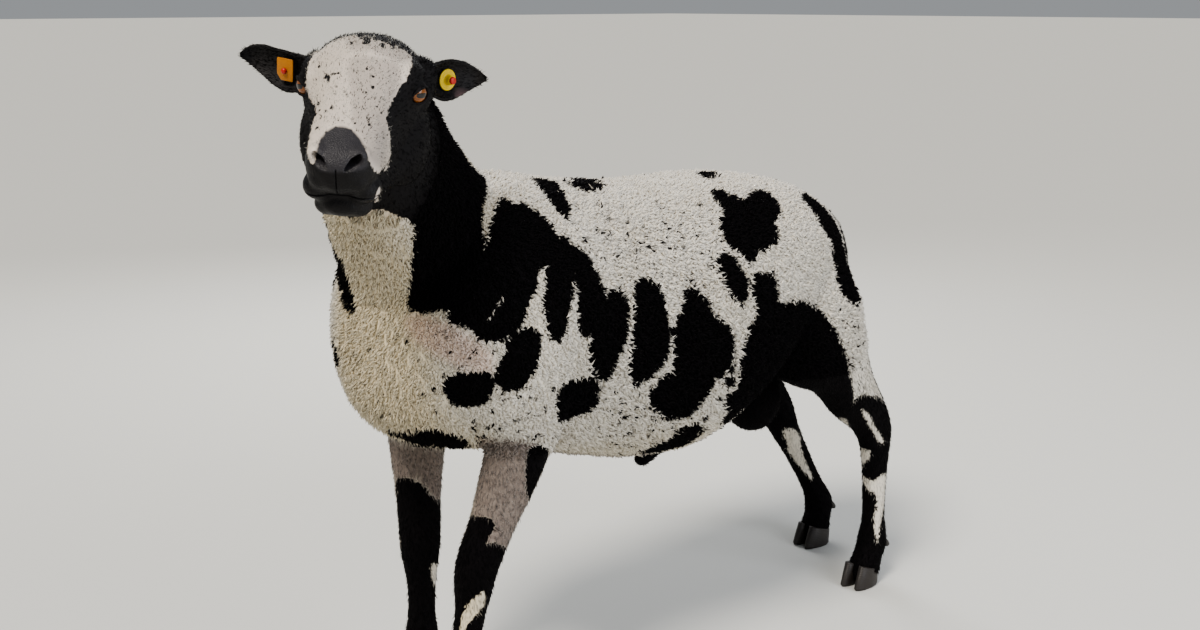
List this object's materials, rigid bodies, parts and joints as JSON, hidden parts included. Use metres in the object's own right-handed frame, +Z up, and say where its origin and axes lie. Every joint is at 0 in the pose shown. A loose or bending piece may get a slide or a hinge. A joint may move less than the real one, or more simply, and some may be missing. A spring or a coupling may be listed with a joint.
{
  "type": "dutch spotted sheep",
  "caption": "Standing spotted ram with a short curly fleece, black-and-white patches, a white-blazed face turned to its left, and ear tags.",
  "frame": {"origin": "point on the ground under the middle of the sheep's bounding box, turned head included", "axes": "+Z up, -Y the way the body faces, +X towards the sheep's left side"},
  "size_m": [0.474, 1.293, 0.9726],
  "materials": {
    "fleece": "matte",
    "neck_fleece": "matte",
    "face_hair": "matte",
    "leg_hair": "matte",
    "ear_skin": "satin",
    "eye_amber": "gloss",
    "hoof_horn": "satin",
    "dewclaw_horn": "satin",
    "bare_skin": "satin",
    "tag_yellow": "satin",
    "tag_red": "satin"
  },
  "bodies": {
    "root": {"head": "face_hair", "ear_left": "ear_skin", "ear_right": "ear_skin", "eye_left": "eye_amber", "eye_right": "eye_amber", "neck": "neck_fleece", "torso": "fleece", "tail": "leg_hair", "scrotum": "bare_skin", "sheath": "bare_skin", "leg_left_fore": "leg_hair", "hoof_left_fore_outer": "hoof_horn", "dewclaw_left_fore_outer": "dewclaw_horn", "hoof_left_fore_inner": "hoof_horn", "dewclaw_left_fore_inner": "dewclaw_horn", "leg_right_fore": "leg_hair", "hoof_right_fore_outer": "hoof_horn", "dewclaw_right_fore_outer": "dewclaw_horn", "hoof_right_fore_inner": "hoof_horn", "dewclaw_right_fore_inner": "dewclaw_horn", "leg_left_hind": "leg_hair", "hoof_left_hind_outer": "hoof_horn", "dewclaw_left_hind_outer": "dewclaw_horn", "hoof_left_hind_inner": "hoof_horn", "dewclaw_left_hind_inner": "dewclaw_horn", "leg_right_hind": "leg_hair", "hoof_right_hind_outer": "hoof_horn", "dewclaw_right_hind_outer": "dewclaw_horn", "hoof_right_hind_inner": "hoof_horn", "dewclaw_right_hind_inner": "dewclaw_horn", "tag_right_panel": "tag_yellow", "tag_left_button": "tag_yellow", "tag_right_stud": "tag_red", "tag_left_stud": "tag_red"}
  },
  "joints": []
}
